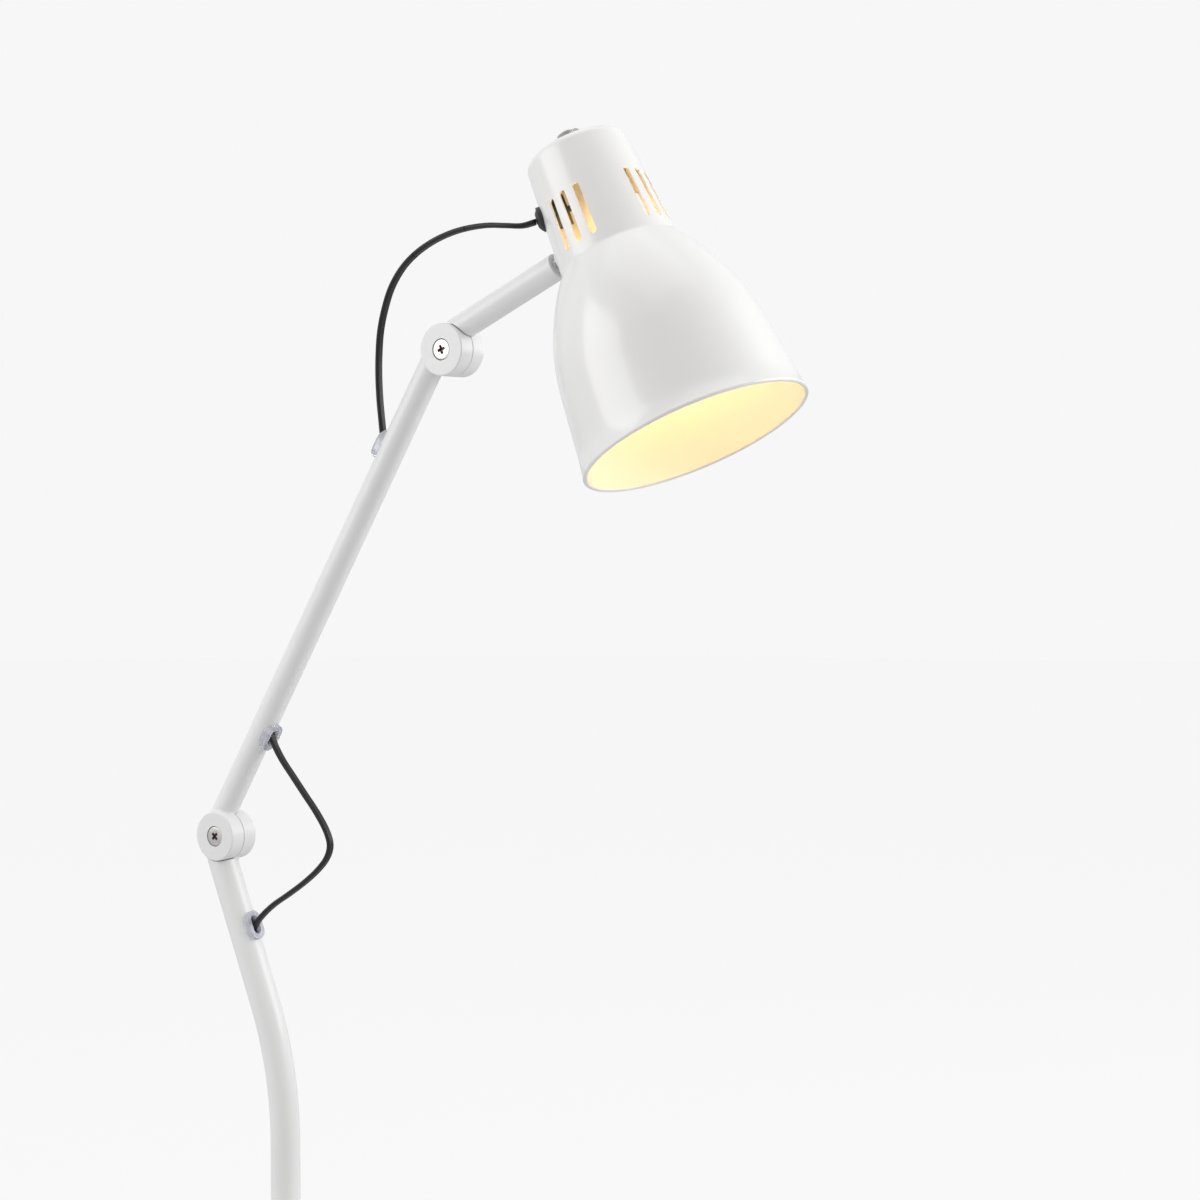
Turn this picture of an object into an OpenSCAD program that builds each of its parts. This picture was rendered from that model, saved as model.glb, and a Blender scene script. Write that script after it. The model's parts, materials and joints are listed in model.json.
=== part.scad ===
// Swing arm desk lamp: a weighted round base, a bent post, two tube arms on
// two-disc friction hinges, and a bell shade on a ball joint.
// Frame: origin on the table under the centre of the base, +Z up, +X forward
// towards the shade, Y along the hinge axes. Millimetres.

/* [Base] */
// Diameter of the base cover
base_d = 200; // [150:1:260]
// Height of the base from the table to its flat top
base_h = 22; // [20:0.5:32]
// Sheet thickness of the base cover
cover_t = 1.5; // [1:0.1:2.5]
// Radius of the cover's rounded top edge
cover_round = 8; // [3:0.5:10]
// Thickness of the soft pad under the weight
pad_t = 2; // [1:0.5:4]
// Thickness of the iron weight's disc
weight_t = 13.5; // [10:0.5:15]

/* [Post] */
// Outside diameter of the post
post_d = 19; // [16:0.5:25]
// Height of the upright part of the post above the base
post_rise = 93; // [70:1:160]
// Centreline radius of the bend
post_bend_r = 240; // [120:5:300]
// Angle the top of the post leans back
post_lean = 22; // [10:1:35]
// Length of the leaning part, from the bend to beside the hinge
post_slant = 110; // [90:1:160]

/* [Arms] */
// Outside diameter of both arm tubes
arm_d = 16; // [14:0.5:18]
// Wall of all tubes
tube_wall = 1.2; // [0.8:0.1:2]
// Distance between the two hinge axes
middle_len = 362; // [290:1:450]
// Distance from the upper hinge to the ball of the head joint
upper_len = 88.5; // [75:0.5:160]
// Slope of the middle arm above level
middle_angle = 58.6; // [45:0.1:75]
// Slope of the upper arm above level
upper_angle = 25; // [0:0.5:35]
// Distance from a tube's axis to its hinge axis
arm_offset = 9; // [8.5:0.1:10]

/* [Hinges] */
// Diameter of the hinge discs
disc_d = 32; // [28:0.5:40]
// Thickness of one hinge disc
disc_t = 11; // [10:0.1:14]
// Gap between the two discs of a hinge, filled by a fibre washer
seam_gap = 0.4; // [0.3:0.05:1]
// Diameter of the hinge screw's shank
screw_d = 6; // [4:0.5:6]
// Diameter of the hinge screw's head
screw_head_d = 12.4; // [10:0.2:13]
// Across flats of the hinge nut
nut_af = 10; // [9:0.5:12]

/* [Shade] */
// Outside diameter of the shade at its mouth
mouth_d = 137; // [120:1:180]
// Height of the shade from its mouth to its flat top
shade_h = 188; // [170:1:230]
// Sheet thickness of the shade
shade_t = 1.2; // [0.8:0.1:2]
// Height of the bell's straight lower wall
skirt_h = 50; // [30:1:60]
// Draft of the straight lower wall, from upright
skirt_draft = 6.5; // [2:0.5:10]
// Radius of the bell's curve above the straight wall
bell_arc_r = 135; // [110:1:180]
// Outside diameter of the neck at its top
neck_top_d = 61.2; // [56:0.2:66]
// Taper of the neck, as radius gained for each millimetre down
neck_taper = 0.073; // [0:0.001:0.12]
// Lean of the shade's axis from upright
shade_lean = 26.8; // [10:0.1:45]
// Height of the head joint above the shade's mouth
joint_h = 134; // [128:0.5:140]

/* [Vent slots] */
// Width of a slot
slot_w = 4; // [2.5:0.1:5]
// Height of a slot's lower end above the mouth
slot_low = 124; // [122:0.5:128]
// Length of a slot
slot_len = 33; // [20:1:36]
// Angle between neighbouring slots of a group
slot_pitch = 16.5; // [14:0.5:22]

/* [Head joint] */
// Diameter of the ball
ball_d = 10; // [8:0.5:10.5]
// Diameter of the ball's stud
stud_d = 5; // [4:0.5:5]
// Distance from the ball's centre to the neck's outside
ball_reach = 9.5; // [9:0.25:14]
// Thickness of the saddle washer at its middle
saddle_t = 2.5; // [2:0.25:3]

/* [Lampholder and bulb] */
// Outside diameter of the lampholder
holder_d = 28; // [26:0.5:32]
// Diameter of the bulb's glass
bulb_d = 45; // [35:1:50]
// Diameter of the knurled switch knob
knob_d = 14.5; // [13:0.5:20]
// Height of the knurled part of the knob
knob_h = 8.5; // [6:0.5:14]

/* [Cable and grommets] */
// Width of the flat twin flex
flex_w = 5.4; // [4.8:0.1:5.8]
// Thickness of the flat twin flex
flex_t = 3.4; // [3:0.1:3.8]
// Length of a cable hole in a tube
port_len = 15; // [12:0.5:16]
// Width of a cable hole in a tube
port_w = 9; // [8:0.5:10]
// Distance from a hinge axis to the middle arm's cable holes
port_reach = 77; // [60:1:90]
// Distance from the lower hinge to the post's cable hole
post_port_reach = 62; // [50:1:70]
// How far a grommet's flange stands proud of its tube
flange_proud = 2.4; // [1.5:0.1:3]

/* [Hidden] */
$fn = 64;
FAR = 400;              // longer than any cut needs
EPS = 0.02;             // makes a cut run through a face
run_gap = 0.05;         // radial running clearance of a shaft
seat_gap = 0.3;         // clearance of a part that seats in a recess
cope_gap = 0.6;         // gap between a tube's end and the other arm's disc
weld_lap = 0.5;         // straight stretches run this far into the bend
bend_squeeze = 0.02;    // the bent stretch is this much thinner, as bending leaves it
tube_end = 7;           // a tube stops this far from its hinge axis

base_r = base_d / 2;
arm_r = arm_d / 2;
post_r = post_d / 2;
disc_r = disc_d / 2;
shank_r = screw_d / 2;
disc_round = 0.9;       // rounding of a disc's outer edge
nut_t = 5;              // hinge nut's thickness
head_t = 3.2;           // hinge screw head's thickness
wave_t = 1.2;           // spring washer's height, pressed flat
head_sink = 0.3;        // screw head sits below the disc's face
recess_gap = 0.45;      // ring gap round the screw head
fibre_r = disc_r - 4;   // fibre washer's radius

// A direction in the arm plane, and the direction square to it
function along(a) = [cos(a), 0, sin(a)];
function across(a) = [-sin(a), 0, cos(a)];

// Post: bend, then lean back to the lower hinge
bend_top = [-post_bend_r * (1 - cos(post_lean)), 0,
            base_h + post_rise + post_bend_r * sin(post_lean)];
lower_hinge = bend_top + post_slant * along(90 + post_lean)
              - arm_offset * across(90 + post_lean);
upper_hinge = lower_hinge + middle_len * along(middle_angle);
ball = upper_hinge + arm_offset * across(upper_angle) + upper_len * along(upper_angle);

// Shade outline
mouth_r = mouth_d / 2;
neck_top_r = neck_top_d / 2;
shoulder_r = 5;         // rounding between the neck and the flat top
crease_r = 5;           // fillet between the bell and the neck
rim_r = 1.3;            // rolled bead round the mouth
skirt_top_r = mouth_r - skirt_h * tan(skirt_draft);
bell_c = [skirt_top_r - bell_arc_r * cos(skirt_draft), skirt_h - bell_arc_r * sin(skirt_draft)];
function neck_r(h) = neck_top_r + (shade_h - h) * neck_taper;
// Centre of the crease fillet: crease_r from the neck's line and from the bell's arc
taper_sq = 1 + neck_taper * neck_taper;
line_a = neck_top_r + shade_h * neck_taper + crease_r * sqrt(taper_sq) - bell_c.x;
arc_q = bell_arc_r + crease_r;
line_b = line_a * neck_taper + bell_c.y;
crease_y = (line_b + sqrt(line_b * line_b
            - taper_sq * (line_a * line_a + bell_c.y * bell_c.y - arc_q * arc_q))) / taper_sq;
crease_c = [bell_c.x + line_a - neck_taper * crease_y, crease_y];
bell_end = atan2(crease_c.y - bell_c.y, crease_c.x - bell_c.x);
neck_dir = atan(neck_taper);
function arc(c, r, a0, a1, n) = [for (i = [0 : n]) c + r * [cos(a0 + (a1 - a0) * i / n),
                                                           sin(a0 + (a1 - a0) * i / n)]];
function shade_outline(t) = concat(
    [[mouth_r - t, 0]],
    arc(bell_c, bell_arc_r - t, skirt_draft, bell_end, 9),
    arc(crease_c, crease_r + t, bell_end + 180, 180 + neck_dir, 4),
    arc([neck_r(shade_h - shoulder_r) - shoulder_r, shade_h - shoulder_r],
        shoulder_r - t, neck_dir, 90, 5));

// Head joint, along the stud from the ball's centre
neck_at_joint = neck_r(joint_h);
axis_reach = ball_reach + neck_at_joint;
saddle_r = 7.5;         // saddle washer's radius
cup_wall_gap = 0.08;    // cup turns in the tube
lip = 2.8;              // cup and tube end this far beyond the ball's centre
cup_back = 8;           // cup reaches this far behind the ball's centre
ball_r = ball_d / 2;
stud_r = stud_d / 2;

// Lampholder, heights above the mouth
holder_low = 122;
holder_split = 152;     // body below, switch housing above
holder_top = 178;
nipple_r = 5;
nipple_bore = 2.6;
spindle_r = 2;
ring_nut_t = 2.2;
knob_low = shade_h + ring_nut_t + 0.5;
cap_r = 6.9;            // E14 cap over its thread
cap_low = 118;
cap_top = 141;
bulb_r = bulb_d / 2;
bulb_y = 88;            // centre of the glass sphere above the mouth

// A point given in the shade's own frame
function shade_point(p) = ball + (axis_reach + p.x) * along(shade_lean) + [0, p.y, 0]
                          + (p.z - joint_h) * across(shade_lean);

// Cable gland in the neck
gland_turn = 147;       // angle round the neck from the front
gland_h = 156;          // height above the mouth
gland_flange_r = 7.5;
gland_nut_r = 9.5;
gland_in = 17;          // inner end's distance from the shade's axis

// Base inside
nipple_nut_t = 3;
nut_seat = 12.7;         // height of the washer's underside
washer_t = 1.8;
weight_gap = 1.2;       // between the weight's edge and the cover
boss_r = 24;            // weight's central boss
channel_w = 9;          // cable channel under the weight
lead_z = 8;             // height of the mains lead at the base
relief_len = 28;        // strain relief outside the cover
relief_r = 5.2;

flex_r = flex_w / 2;
sides = 8;

// Routes of the cable, chosen by hand, each stretch given from the place it belongs to
function from(o, stretch) = [for (p = stretch) o + p];
lie = flex_t / 2 + 0.1; // height of the flex's middle as it lies on the table
lead_end = [-base_r - 30, 0, 0];
coil_centre = [-base_r - 30.7, 84, 0];
gland_mouth = shade_point(neck_r(gland_h) * [cos(gland_turn), -sin(gland_turn), 0]
                          + [0, 0, gland_h]);
post_route = concat(
    [lead_end + [0, 0, lead_z], [-base_r, 0, lead_z], [-60, 0, 7], [-30, 0, 5], [-14, 0, 4.2],
     [-6, 0, 4.8], [-1.5, 0, 8], [0, 0, 14], [0, 0, base_h + 8], [0, 0, 60],
     [0, 0, base_h + post_rise]],
    from(bend_top, [[13.5, 0, -46.9], [4.5, 0, -9.9]]),
    from(lower_hinge, [[28.3, 0, -92.3], [22.3, 0, -76.3]]));
lower_loop_route = from(lower_hinge, [
    [22.3, 0, -76.3], [21.3, 0, -67.3], [24.3, 0, -58.3], [31.3, 0, -50.3], [41.3, 0, -42.3],
    [54.3, 0, -34.3], [67.3, 0, -25.8], [78.3, 0, -17.3], [86.3, 0, -8.8], [89.3, 0, -0.3],
    [86.3, 0, 8.7], [78.3, 0, 19.7], [68.3, 0, 30.7], [58.3, 0, 41.7], [48.8, 0, 51.9],
    [41.4, 0, 62.2], [38.4, 0, 73.2], [42.3, 0, 86.7]]);
upper_loop_start = from(upper_hinge, [
    [-60.3, 0, -81.3], [-55.2, 0, -71.2], [-54.1, 0, -64.9], [-54.7, 0, -60.9], [-56.2, 0, -57.2],
    [-56.4, 0, -50.5], [-56.1, 0, -41.7], [-56.3, -1, -29.3],
    [-56.3, -2, -15.3], [-55.3, -3, -1.3], [-52.3, -5, 12.7], [-47.3, -7, 25.7],
    [-39.3, -10, 38.7], [-28.3, -13, 49.7], [-15.3, -16, 57.7]]);
upper_loop_route = concat(upper_loop_start,
    from(ball, [[-76.7, -19, 18.2], [-60.7, -22, 22.2], [-44.7, -25, 24.2], [-28.7, -27, 24.7]]),
    from(gland_mouth, [[-19.5, -9.6, -3.4], [-9.5, -7.1, -3.9], [-3.5, -2.6, -1.9]]));
arm_route = let (a = lower_loop_route[len(lower_loop_route) - 1], b = upper_loop_start[0],
                 gap = 0.7 * unit(b - a)) [a + gap, (a + b) / 2, b - gap];
head_route = from(gland_mouth, [[-2.9, -2.2, -1.6], [5.5, 3.9, 2.6], [13.5, 9.9, 6.6]]);
lead_route = from(lead_end, [[0, 0, lead_z], [-11, 1, lead_z - 2], [-22, 6, lie + 1.4],
    [-31, 16, lie + 0.1], [-37, 30, lie], [-40, 46, lie], [-41.5, 64, lie], [-42, 82, lie]]);
tail_route = from(coil_centre, [[0, 41.3, 5.4], [12, 41.5, 4.6], [24, 42.2, 3], [35, 43.2, 2.2],
    [45, 44.4, 3], [54, 45.7, 5], [61, 46.7, 7]]);
plug_turn = 8;          // plug's angle on the table
plug_h = 14;            // plug's height as it lies
plug_w = 35;            // plug's width over its pins
plug_len = 34;
plug_neck = 14;         // sleeve between the flex and the plug's body
pin_r = 2;
pin_len = 19;
pin_gap = 18.6;         // between the pins' axes
coil_out = 44;
coil_in = 14;
coil_h = 7.2;

// Places its children with local X along a slope and local Z square to it
module frame_at(p, a) {
    translate(p) rotate([0, -a, 0]) children();
}

// Cylinder along Y
module y_cyl(r, y0, y1) {
    translate([0, y0, 0]) rotate([-90, 0, 0]) cylinder(r = r, h = y1 - y0);
}

// Cylinder along X
module x_cyl(r, x0, x1) {
    translate([x0, 0, 0]) rotate([0, 90, 0]) cylinder(r = r, h = x1 - x0);
}

// Ring about Z
module ring(ro, ri, z0, z1) {
    translate([0, 0, z0]) difference() {
        cylinder(r = ro, h = z1 - z0);
        translate([0, 0, -EPS]) cylinder(r = ri, h = z1 - z0 + 2 * EPS);
    }
}

// Six-sided block about Z
module hex_block(af, z0, z1) {
    translate([0, 0, z0]) cylinder(r = af / 2 / cos(30), h = z1 - z0, $fn = 6);
}

// A long round-ended hole along Z: length along X, width along Y
module oval(length, width, z0, z1) {
    run = length - width;
    translate([-run / 2, -width / 2, z0]) cube([run, width, z1 - z0]);
    for (s = [-1, 1])
        translate([s * run / 2, 0, z0]) cylinder(r = width / 2, h = z1 - z0);
}

// Flat flex along a route, one ring for each point; its width lies along face_dir
function unit(v) = v / norm(v);
function tangent(p, i) = unit(p[min(i + 1, len(p) - 1)] - p[max(i - 1, 0)]);
module flex(p, w, t, face_dir) {
    n = len(p);
    rings = [for (i = [0 : n - 1])
        let (d = tangent(p, i), s = unit(cross(d, face_dir)), u = cross(s, d))
        for (k = [0 : sides - 1])
            p[i] + t / 2 * s * cos(360 * k / sides) + w / 2 * u * sin(360 * k / sides)];
    walls = [for (i = [0 : n - 2]) for (k = [0 : sides - 1]) let (m = (k + 1) % sides)
        each [[i * sides + k, (i + 1) * sides + m, i * sides + m],
              [i * sides + k, (i + 1) * sides + k, (i + 1) * sides + m]]];
    first = [for (k = [0 : sides - 1]) k];
    last = [for (k = [sides - 1 : -1 : 0]) (n - 1) * sides + k];
    polyhedron(points = rings, faces = concat([first, last], walls));
}
// Stretches in the arm plane keep their width along Y
module arm_flex(p) color([0.1, 0.1, 0.1]) flex(p, flex_w, flex_t, [0, 1, 0]);
// Stretches on the table lie on their broad side
module table_flex(p) color([0.1, 0.1, 0.1]) flex(p, flex_t, flex_w, [0, 0, 1]);

// ---- Base ----

module base_pad() color([0.12, 0.12, 0.12])
    difference() {
        cylinder(r = base_r - 3, h = pad_t, $fn = 128);
        translate([0, 0, -EPS]) cylinder(r = 14, h = pad_t + 2 * EPS);
    }

module base_weight() color([0.25, 0.25, 0.26]) {
    top = base_h - cover_t;
    difference() {
        union() {
            translate([0, 0, pad_t])
                cylinder(r = base_r - cover_t - weight_gap, h = weight_t - cover_round + 4, $fn = 128);
            translate([0, 0, pad_t])
                cylinder(r = base_r - cover_round - weight_gap, h = weight_t, $fn = 128);
            translate([0, 0, pad_t]) cylinder(r = boss_r, h = top - pad_t);
        }
        translate([0, 0, -EPS]) cylinder(r = nipple_r + seat_gap, h = base_h);
        translate([0, 0, pad_t - EPS])
            cylinder(r = 12, h = nut_seat + washer_t - pad_t + EPS);
        translate([-base_r, -channel_w / 2, pad_t - EPS]) cube([base_r, channel_w, 10.5]);
    }
}

module base_cover() color([0.93, 0.93, 0.92])
    difference() {
        rotate_extrude($fn = 128) difference() {
            polygon(concat([[0, 1], [base_r, 1]],
                arc([base_r - cover_round, base_h - cover_round], cover_round, 0, 90, 6),
                [[0, base_h]]));
            polygon(concat([[0, 0], [base_r - cover_t, 0]],
                arc([base_r - cover_round, base_h - cover_round], cover_round - cover_t, 0, 90, 6),
                [[0, base_h - cover_t]]));
        }
        translate([0, 0, base_h - 5]) cylinder(r = nipple_r + seat_gap, h = 10);
        translate([0, 0, lead_z]) x_cyl(4.4, -base_r - 5, -base_r + 10);
    }

// ---- Post ----

module post_solid(r) {
    translate([0, 0, base_h]) cylinder(r = r, h = post_rise + weld_lap);
    translate([-post_bend_r, 0, base_h + post_rise]) rotate([90, 0, 0])
        rotate_extrude(angle = post_lean) translate([post_bend_r, 0]) circle(r = r - bend_squeeze);
    frame_at(bend_top, 90 + post_lean) x_cyl(r, -weld_lap, post_slant - tube_end);
}

// Cuts the end of a tube round the hinge discs; own_side is the Y side of its own disc
module hinge_cope(own_side) {
    y_cyl(disc_r, own_side < 0 ? -FAR / 2 : 0, own_side < 0 ? 0 : FAR / 2);
    y_cyl(disc_r + cope_gap, own_side < 0 ? 0 : -FAR / 2, own_side < 0 ? FAR / 2 : 0);
}

module post_tube() color([0.93, 0.93, 0.92])
    difference() {
        post_solid(post_r);
        post_solid(post_r - tube_wall);
        translate(lower_hinge) hinge_cope(1);
        frame_at(lower_hinge, 90 + post_lean)
            translate([-post_port_reach, 0, arm_offset - post_r - 4]) oval(port_len, port_w, 0, 8);
    }

module post_plug() color([0.6, 0.6, 0.62])
    translate([0, 0, base_h])
        ring(post_r - tube_wall, nipple_r, 0, 18);

module base_nipple() color([0.8, 0.68, 0.35])
    ring(nipple_r, 3.4, nut_seat - nipple_nut_t - 0.7, base_h + 16);

module nipple_washer() color([0.7, 0.7, 0.72])
    ring(10, nipple_r + seat_gap, nut_seat, nut_seat + washer_t);

module nipple_nut() color([0.8, 0.68, 0.35])
    difference() {
        hex_block(14, nut_seat - nipple_nut_t, nut_seat);
        cylinder(r = nipple_r, h = 30);
    }

module lead_gland() color([0.1, 0.1, 0.1])
    translate([0, 0, lead_z]) difference() {
        union() {
            x_cyl(4.2, -base_r - 1, -base_r + cover_t + 2.5);
            x_cyl(6, -base_r - 2.4, -base_r - 0.2);
            translate([-base_r - 2.4, 0, 0]) rotate([0, -90, 0])
                cylinder(r1 = relief_r, r2 = flex_r + 0.9, h = relief_len);
        }
        x_cyl(flex_r + 0.05, -base_r - relief_len - 5, -base_r + 20);
    }

// ---- Grommets: local Z points out of the tube, origin on the tube's axis ----

module grommet(tube_r) color([0.85, 0.9, 0.95, 0.5])
    difference() {
        union() {
            difference() {
                oval(port_len + 4, port_w + 3.4, tube_r * 0.5, tube_r + flange_proud);
                x_cyl(tube_r + EPS, -FAR / 4, FAR / 4);
            }
            intersection() {
                oval(port_len - 0.3, port_w - 0.3, tube_r * 0.4, tube_r + flange_proud - 0.5);
                x_cyl(tube_r + 0.5, -FAR / 4, FAR / 4);
            }
        }
        oval(port_len - 2.4, port_w - 2.4, 0, tube_r + 10);
        x_cyl(tube_r - tube_wall - 1, -FAR / 4, FAR / 4);
    }

module post_grommet()
    frame_at(lower_hinge, 90 + post_lean)
        translate([-post_port_reach, 0, arm_offset]) rotate([180, 0, 0]) grommet(post_r);

module middle_lower_grommet()
    frame_at(lower_hinge, middle_angle)
        translate([port_reach, 0, arm_offset]) rotate([180, 0, 0]) grommet(arm_r);

module middle_upper_grommet()
    frame_at(upper_hinge, middle_angle)
        translate([-port_reach, 0, arm_offset]) grommet(arm_r);

// ---- Hinges: local origin on the hinge axis, Y along it ----

seam = seam_gap / 2;
face = seam + disc_t;
head_room = head_sink + head_t + wave_t;

// Disc turned about Z from z = 0 (seam side) to z = disc_t (outer face)
module disc_blank(bore_r) {
    rotate_extrude() polygon(concat([[bore_r, 0], [disc_r - 0.2, 0], [disc_r, 0.2]],
        arc([disc_r - disc_round, disc_t - disc_round], disc_round, 0, 90, 4),
        [[bore_r, disc_t]]));
}

module front_disc() color([0.93, 0.93, 0.92])
    translate([0, -seam, 0]) rotate([90, 0, 0]) difference() {
        disc_blank(shank_r + run_gap);
        translate([0, 0, disc_t - head_room]) cylinder(r = screw_head_d / 2 + recess_gap, h = disc_t);
    }

module back_disc() color([0.93, 0.93, 0.92])
    translate([0, seam, 0]) rotate([-90, 0, 0]) difference() {
        disc_blank(shank_r);
        translate([0, 0, disc_t - nut_t - 0.3])
            cylinder(r = (nut_af + 0.3) / 2 / cos(30), h = disc_t, $fn = 6);
    }

module hinge_screw(cross_turn) color([0.78, 0.77, 0.75]) {
    top = -(face - head_sink);
    difference() {
        union() {
            y_cyl(screw_head_d / 2, top, top + head_t);
            y_cyl(shank_r, top + head_t, face - 0.8);
        }
        for (q = [0, 90])
            translate([0, top - EPS, 0]) rotate([0, cross_turn + q, 0])
                translate([-3, 0, -0.75]) cube([6, 2, 1.5]);
    }
}

module hinge_nut() color([0.75, 0.75, 0.76])
    rotate([-90, 0, 0]) difference() {
        hex_block(nut_af, face - nut_t - 0.3, face - 0.3);
        cylinder(r = shank_r, h = 40);
    }

module spring_washer() color([0.55, 0.55, 0.57])
    rotate([90, 0, 0])
        ring(screw_head_d / 2 - 0.3, shank_r + 0.25, face - head_room + 0.03,
             face - head_room + wave_t - 0.03);

module fibre_washer() color([0.5, 0.3, 0.2])
    rotate([90, 0, 0]) ring(fibre_r, shank_r + 0.25, -seam + run_gap, seam - run_gap);

module lower_back_disc() translate(lower_hinge) back_disc();
module lower_front_disc() translate(lower_hinge) front_disc();
module lower_screw() translate(lower_hinge) hinge_screw(45);
module lower_nut() translate(lower_hinge) hinge_nut();
module lower_spring_washer() translate(lower_hinge) spring_washer();
module lower_fibre_washer() translate(lower_hinge) fibre_washer();
module upper_back_disc() translate(upper_hinge) back_disc();
module upper_front_disc() translate(upper_hinge) front_disc();
module upper_screw() translate(upper_hinge) hinge_screw(18);
module upper_nut() translate(upper_hinge) hinge_nut();
module upper_spring_washer() translate(upper_hinge) spring_washer();
module upper_fibre_washer() translate(upper_hinge) fibre_washer();

// ---- Arms ----

module middle_tube() color([0.92, 0.92, 0.92])
    difference() {
        frame_at(lower_hinge, middle_angle) translate([0, 0, arm_offset])
            x_cyl(arm_r, tube_end, middle_len - tube_end);
        frame_at(lower_hinge, middle_angle) translate([0, 0, arm_offset])
            x_cyl(arm_r - tube_wall, 0, middle_len);
        translate(lower_hinge) hinge_cope(-1);
        translate(upper_hinge) hinge_cope(-1);
        frame_at(lower_hinge, middle_angle)
            translate([port_reach, 0, arm_offset - arm_r - 4]) oval(port_len, port_w, 0, 8);
        frame_at(upper_hinge, middle_angle)
            translate([-port_reach, 0, arm_offset + arm_r - 4]) oval(port_len, port_w, 0, 8);
    }

module upper_tube() color([0.88, 0.88, 0.9])
    difference() {
        frame_at(upper_hinge, upper_angle) translate([0, 0, arm_offset])
            x_cyl(arm_r, tube_end, upper_len + lip);
        frame_at(upper_hinge, upper_angle) translate([0, 0, arm_offset])
            x_cyl(arm_r - tube_wall, 0, upper_len + FAR);
        translate(upper_hinge) hinge_cope(1);
    }

// ---- Head joint ----

module ball_cup() color([0.2, 0.2, 0.22])
    frame_at(ball, upper_angle) difference() {
        x_cyl(arm_r - tube_wall - cup_wall_gap, -cup_back, lip);
        sphere(r = ball_r + run_gap * 2);
        translate([1, 0, 0]) rotate([0, 90, 0])
            cylinder(r1 = ball_r - 1.2, r2 = ball_r + 0.6, h = lip);
    }

module head_frame() frame_at(ball, shade_lean) children();

module ball_stud() color([0.75, 0.75, 0.77])
    head_frame() union() {
        sphere(r = ball_r);
        x_cyl(stud_r, ball_r * 0.7, ball_reach + 11);
    }

module shade_frame() head_frame() translate([axis_reach, 0, -joint_h]) children();

// The neck's outside as a solid cone
module neck_cone(grow) {
    low = joint_h - 12;
    high = joint_h + 12;
    translate([0, 0, low])
        cylinder(r1 = neck_r(low) + grow, r2 = neck_r(high) + grow, h = high - low, $fn = 96);
}

module saddle_washer() color([0.9, 0.9, 0.9])
    difference() {
        head_frame() x_cyl(saddle_r, ball_reach - saddle_t, ball_reach + 3);
        shade_frame() neck_cone(0);
        head_frame() x_cyl(stud_r + run_gap, 0, ball_reach + 10);
    }

module stud_washer() color([0.7, 0.7, 0.72])
    head_frame() rotate([0, 90, 0])
        ring(6, stud_r + run_gap, ball_reach + shade_t + 1, ball_reach + shade_t + 2);

module stud_nut() color([0.7, 0.7, 0.72])
    head_frame() rotate([0, 90, 0]) difference() {
        hex_block(8, ball_reach + shade_t + 2, ball_reach + shade_t + 6);
        cylinder(r = stud_r, h = 40);
    }

// ---- Shade ----

module shade() color([0.92, 0.92, 0.91])
    shade_frame() difference() {
        union() {
            rotate_extrude($fn = 96) difference() {
                polygon(concat([[0, 0]], shade_outline(0), [[0, shade_h]]));
                polygon(concat([[0, -1], [mouth_r - shade_t, -1]], shade_outline(shade_t),
                               [[0, shade_h - shade_t]]));
            }
            rotate_extrude($fn = 96) translate([mouth_r - shade_t / 2, 0])
                circle(r = rim_r, $fn = 16);
        }
        // vent slots
        for (group = [-90, 0, 90], i = [-1 : 1])
            rotate([0, 0, group + i * slot_pitch]) translate([neck_top_r, 0, slot_low + slot_len / 2])
                rotate([0, 90, 0]) oval(slot_len, slot_w, -12, 12);
        // switch nipple, head stud and cable gland
        translate([0, 0, shade_h - 10]) cylinder(r = nipple_r + 0.1, h = 20);
        translate([-neck_at_joint, 0, joint_h]) x_cyl(stud_r + 0.1, -20, 20);
        translate([0, 0, gland_h]) rotate([0, 0, 360 - gland_turn]) x_cyl(4.6, 20, 60);
    }

// Cable gland: local X points out of the neck
module gland_frame() shade_frame() translate([0, 0, gland_h])
    rotate([0, 0, 360 - gland_turn]) children();

module cord_grip() color([0.08, 0.08, 0.08])
    gland_frame() difference() {
        union() {
            difference() {
                x_cyl(gland_flange_r, neck_r(gland_h) - 3, neck_r(gland_h) + 1.6);
                translate([0, 0, -gland_h]) translate([0, 0, gland_h - 12])
                    cylinder(r1 = neck_r(gland_h - 12), r2 = neck_r(gland_h + 12), h = 24, $fn = 96);
            }
            x_cyl(4.4, gland_in, neck_r(gland_h) + 1);
        }
        x_cyl(flex_r + 0.2, 0, 60);
    }

module cord_grip_nut() color([0.1, 0.1, 0.1])
    gland_frame() difference() {
        x_cyl(gland_nut_r, gland_in, neck_r(gland_h) - shade_t - 2.4);
        x_cyl(4.4, 0, 60);
    }

// ---- Lampholder, switch and bulb ----

module holder_body() color([0.92, 0.91, 0.88])
    shade_frame() difference() {
        union() {
            translate([0, 0, holder_low]) cylinder(r = holder_d / 2, h = holder_split - holder_low);
            translate([0, 0, holder_low]) cylinder(r = holder_d / 2 + 0.8, h = 3);
        }
        translate([0, 0, holder_low - EPS]) cylinder(r = 10.2, h = 3);
        translate([0, 0, holder_low]) cylinder(r = cap_r + 0.9, h = cap_top + 5 - holder_low);
    }

module holder_cap() color([0.92, 0.91, 0.88])
    shade_frame() difference() {
        union() {
            translate([0, 0, holder_split]) cylinder(r = holder_d / 2, h = 18);
            translate([0, 0, holder_split + 18])
                cylinder(r1 = holder_d / 2, r2 = 8, h = holder_top - holder_split - 18);
        }
        translate([0, 0, holder_top - 4]) cylinder(r = nipple_r, h = 5);
        translate([0, 0, holder_top - 14]) cylinder(r = spindle_r + run_gap, h = 15);
        translate([0, 0, gland_h]) rotate([0, 0, 360 - gland_turn])
            x_cyl(flex_r + 0.3, holder_d / 2 - 5, holder_d / 2 + 5);
    }

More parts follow.
